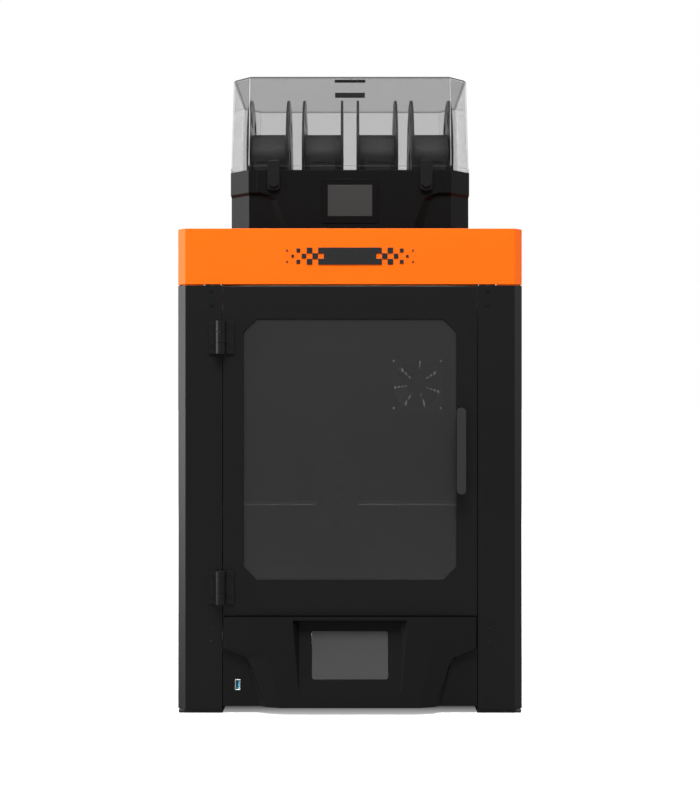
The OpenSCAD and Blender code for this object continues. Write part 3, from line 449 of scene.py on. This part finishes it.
ground_steel = turned("ground_steel", (0.62, 0.62, 0.63, 1), 0.2, 0.0012, 0.00001)
thread_steel = turned("thread_steel", (0.5, 0.5, 0.51, 1), 0.3, 0.002, 0.0005)
dress(eased("guide_rods", "frame", 0.0004), ground_steel)
dress(eased("lead_screw_left", "left_screw", 0.0004), thread_steel)
dress(eased("lead_screw_right", "right_screw", 0.0004), thread_steel)
motor_paint = grained("motor_paint", (0.02, 0.02, 0.021, 1), 0.35, 0.001, 0.00003)
dress(eased("z_motors", "frame", 0.0008), motor_paint)
dress(eased("belt_motors", "gantry", 0.0008), motor_paint)


# ---- gantry ----
# Black anodised side beams and rear beam, grey machined brackets on the rods, ground steel
# rails, and toothed rubber belts.
anodised = grained("anodised_black", (0.02, 0.02, 0.021, 1), 0.32, 0.0006, 0.00001, metal=0.5)
machined = grained("machined_grey", (0.13, 0.13, 0.132, 1), 0.36, 0.0008, 0.00002, metal=0.8)
dress(eased("gantry_beams", "gantry", 0.0008), anodised)
dress(eased("gantry_brackets", "gantry", 0.0010), machined)
dress(eased("x_beam", "bridge", 0.0008), anodised)
dress(eased("y_carriages", "bridge", 0.0010), machined)
rail_metal = grained("rail_metal", (0.55, 0.55, 0.56, 1), 0.38, 0.0012, 0.00001, metal=1.0)
dress(eased("y_rails", "gantry", 0.0002, segments=1), rail_metal)
dress(eased("x_rail", "bridge", 0.0002, segments=1), rail_metal)
belt_rubber = grained("belt_rubber", (0.015, 0.015, 0.015, 1), 0.6, 0.0008, 0.00006)
dress(eased("drive_belts", "gantry", 0.0002, segments=1), belt_rubber)


# ---- toolhead ----
# Moulded black cover with a ring round its fan, on an aluminium carriage; inside, a finned
# cooler, heater block and nozzle under the geared filament drive.
cover_plastic = grained("cover_plastic", (0.020, 0.020, 0.021, 1), 0.35, 0.0008, 0.00004)
dress(eased("toolhead_shell", "toolhead", 0.0008), cover_plastic)
dress(eased("toolhead_carriage", "toolhead", 0.0008), machined)
wheel_plastic = grained("wheel_plastic", (0.02, 0.02, 0.021, 1), 0.35, 0.001, 0.00002)
dress(eased("toolhead_fan", "toolhead_wheel", 0.0002, segments=1), wheel_plastic)
cooler_metal = grained("cooler_metal", (0.6, 0.6, 0.61, 1), 0.3, 0.0008, 0.00002, metal=1.0)
hot_end = dress(eased("hotend", "toolhead", 0.0003, segments=1), cooler_metal)
nozzle_brass = turned("nozzle_brass", (0.72, 0.45, 0.14, 1), 0.25, 0.0006, 0.00001)
nozzle_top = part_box("hotend")[0].z + 0.0078
tint(hot_end, nozzle_brass, lambda face: face.center.z < nozzle_top)
dress(eased("extruder", "toolhead", 0.0010), motor_paint)


# ---- exhaust fan ----
# A square moulded fan frame behind the grille of the rear sheet, with a seven-blade wheel.
# Its four corner holes line up with those in the sheet.
frame_plastic = grained("fan_frame_plastic", (0.018, 0.018, 0.019, 1), 0.4, 0.001, 0.00003)
dress(eased("exhaust_fan_frame", "frame", 0.0006), frame_plastic)
dress(eased("exhaust_rotor", "exhaust_wheel", 0.0003, segments=1), wheel_plastic)


# ---- mains inlet, switch, power supply and control board ----
# A snap-in inlet module with a rocker switch; a plated steel supply and a green circuit board
# in the tray under the chamber.
inlet_plastic = grained("inlet_plastic", (0.014, 0.014, 0.014, 1), 0.28, 0.001, 0.00002)
inlet = dress(eased("power_inlet", "frame", 0.0003, segments=1), inlet_plastic)
inlet_low, inlet_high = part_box("power_inlet")
blade_metal = grained("blade_metal", (0.70, 0.70, 0.71, 1), 0.22, 0.0008, 0.00001, metal=1.0)
inlet_middle = (inlet_low + inlet_high) / 2
blades = [inlet_middle + Vector((across, 0, up))
          for across, up in ((-0.0075, 0.0036), (-0.0145, -0.0014), (-0.0005, -0.0014))]
blade_half = Vector((0.0012, 0.0022))


def on_blade(face):
    """The faces of the three contact blades inside the inlet."""
    at = face.center
    return at.y < inlet_high.y - 0.005 and any(
        abs(at.x - blade.x) < blade_half.x and abs(at.z - blade.z) < blade_half.y
        for blade in blades)


tint(inlet, blade_metal, on_blade)
rocker_plastic = grained("rocker_plastic", (0.02, 0.02, 0.02, 1), 0.22, 0.001, 0.00001)
dress(eased("power_rocker", "rocker", 0.0006), rocker_plastic)
plated_steel = grained("plated_steel", (0.5, 0.5, 0.5, 1), 0.33, 0.003, 0.00002, metal=1.0)
dress(eased("power_supply", "frame", 0.0006), plated_steel)
solder_mask = grained("solder_mask", (0.010, 0.085, 0.028, 1), 0.3, 0.002, 0.00002)
board = dress(eased("control_board", "frame", 0.0002, segments=1), solder_mask)
board_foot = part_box("control_board")[0].z
board_under = board_foot + 0.0099
board_top = board_foot + 0.0118
tint(board, frame_plastic, lambda face: face.center.z > board_top)
tint(board, plated_steel, lambda face: face.center.z < board_under)


# ---- filament box base ----
# Moulded black tub with a spark-eroded texture, a wider band under its rim and a raised field
# in front. The small status screen is let into the field.
tub_plastic = grained("tub_plastic", (0.0035, 0.0035, 0.0036, 1), 0.42, 0.0008, 0.00006,
                      mottle=0.15, patch=0.015, sheen=0.11)
dress(eased("box_base", "frame", 0.0006, sharp=12), tub_plastic)
upper_screen_film = screen_film("upper_screen_film", (0.034, 0.034, 0.0345, 1))
bezel_plastic = grained("bezel_plastic", (0.003, 0.003, 0.003, 1), 0.3, 0.001, 0.00002,
                        sheen=0.2)
status = dress(eased("box_screen", "frame", 0.0002), upper_screen_film)
status_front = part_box("box_screen")[0].y + 0.0002
tint(status, bezel_plastic,
     lambda face: face.center.y > status_front or abs(face.normal.y) < 0.5)
feeder_plastic = grained("feeder_plastic", (0.013, 0.013, 0.0133, 1), 0.5, 0.001, 0.00003,
                         sheen=0.25)
dress(eased("box_feeders", "frame", 0.0008), feeder_plastic)
fitting_plastic = grained("fitting_plastic", (0.05, 0.05, 0.05, 1), 0.4, 0.001, 0.00002)
dress(eased("tube_fittings", "frame", 0.0004), fitting_plastic)
roller_rubber = grained("roller_rubber", (0.025, 0.025, 0.025, 1), 0.6, 0.0008, 0.00006)
dress(eased("spool_rollers", "frame", 0.0006), roller_rubber)


# ---- spools ----
# Four empty injection-moulded spools: thin flanges with windows on a hollow hub. They stand on
# the tub's rollers, with no shaft.
spool_plastic = grained("spool_plastic", (0.012, 0.012, 0.0123, 1), 0.5, 0.002, 0.00002,
                        sheen=0.2)
for count, letter in enumerate("abcd", start=1):
    dress(eased(f"spool_{count}", f"spool_{letter}", 0.0004), spool_plastic)


# ---- lid ----
# One-piece clear hood of lightly smoked plastic with a bevelled roof edge, a dark grip strip
# under its front edge, two hinge leaves behind and a turn latch on each side in front.
def clear_plastic(name, colour, rough, face_on, edge_on, sheen=0.5):
    """Thin smoked plastic: mostly see-through face on, and denser where it is seen edge on."""
    made = grained(name, colour, rough, 0.03, 0.000002, mottle=0.03, patch=0.2, sheen=sheen)
    nodes, links = made.node_tree.nodes, made.node_tree.links
    slant = nodes.new("ShaderNodeLayerWeight")
    slant.inputs["Blend"].default_value = 0.35
    share = ramp(nodes, (0, 1), (face_on, edge_on))
    links.new(slant.outputs["Facing"], share.inputs["Value"])
    links.new(share.outputs["Result"], shader_of(made).inputs["Alpha"])
    return made


# The hood's walls are see-through, and its eased edges get their own colours: a painted highlight up
# the front corners, a painted dark line of shade along the front of the roof, and a denser grey
# elsewhere.
lid_plastic = clear_plastic("lid_plastic", (0.022, 0.022, 0.0225, 1), 0.10, 0.165, 0.335,
                            sheen=0.015)
# Painted highlight: a near-white colour on the upright front edges stands in for the light they
# catch.
painted_highlight_edge = clear_plastic("lid_painted_highlight_edge", (0.80, 0.80, 0.80, 1), 0.25, 0.75, 0.9)
# Painted shade: a near-black colour along the front edge of the roof.
painted_shade_edge = clear_plastic("lid_painted_shade_edge", (0.012, 0.012, 0.012, 1), 0.3, 0.86, 0.95, sheen=0.1)
soft_edge = clear_plastic("lid_soft_edge", (0.03, 0.03, 0.03, 1), 0.25, 0.35, 0.6, sheen=0.1)
lid = dress(eased("box_lid", "lid", 0.0013, sharp=25), lid_plastic)
for edge_plastic in (painted_highlight_edge, painted_shade_edge, soft_edge):
    lid.data.materials.append(edge_plastic)
lid_low, lid_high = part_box("box_lid")
edge_margin = 0.012
smallest_wall = 0.0015
for face in lid.data.polygons:
    out = face.normal
    on_wall = face.area > smallest_wall or max(abs(out.x), abs(out.y), abs(out.z)) > 0.985
    on_corner_wall = abs(abs(out.x) - abs(out.y)) < 0.06 and abs(out.z) < 0.3
    if on_wall or on_corner_wall:
        continue
    on_painted_highlight = out.y < -0.73 and abs(out.z) < 0.2 and face.center.z > lid_low.z + edge_margin
    on_painted_shade = out.y < -0.3 and face.center.z > lid_high.z - edge_margin
    edge_plastic = painted_highlight_edge if on_painted_highlight else painted_shade_edge if on_painted_shade else soft_edge
    face.material_index = lid.data.materials.find(edge_plastic.name)
dress(eased("lid_grip", "lid", 0.0004), badge_film)
dress(eased("lid_hinge_leaves", "lid", 0.0004), hinge_paint)
lid_leaf_low, lid_leaf_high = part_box("lid_hinge_leaves")
tub_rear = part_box("box_base")[1].y
lid_leaf_width = 0.040
lid_leaf_margin = 0.006
lid_pin_z = lid_leaf_low.z + 0.005
lid_screw_reach = 0.021
lid_screw_rows = [end.x + inward * along
                  for end, inward in ((lid_leaf_low, 1), (lid_leaf_high, -1))
                  for along in (lid_leaf_margin, lid_leaf_width - lid_leaf_margin)]
for name, body, up in (("lid_leaf_screws", "lid", lid_screw_reach),
                       ("tub_leaf_screws", "frame", -lid_screw_reach)):
    screw_row(name, body,
              [Vector((across, tub_rear + leaf_proud, lid_pin_z + up))
               for across in lid_screw_rows],
              REARWARD, 0.0026, 0.0012)
latch_plastic = grained("latch_plastic", (0.0045, 0.0045, 0.0046, 1), 0.4, 0.001, 0.00003,
                        sheen=0.25)
crown_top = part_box("crown")[1].z
tint(fixings, latch_plastic, lambda face: face.center.z > crown_top)
for hand in ("left", "right"):
    dress(eased("latch_" + hand, hand + "_latch", 0.0008), latch_plastic)
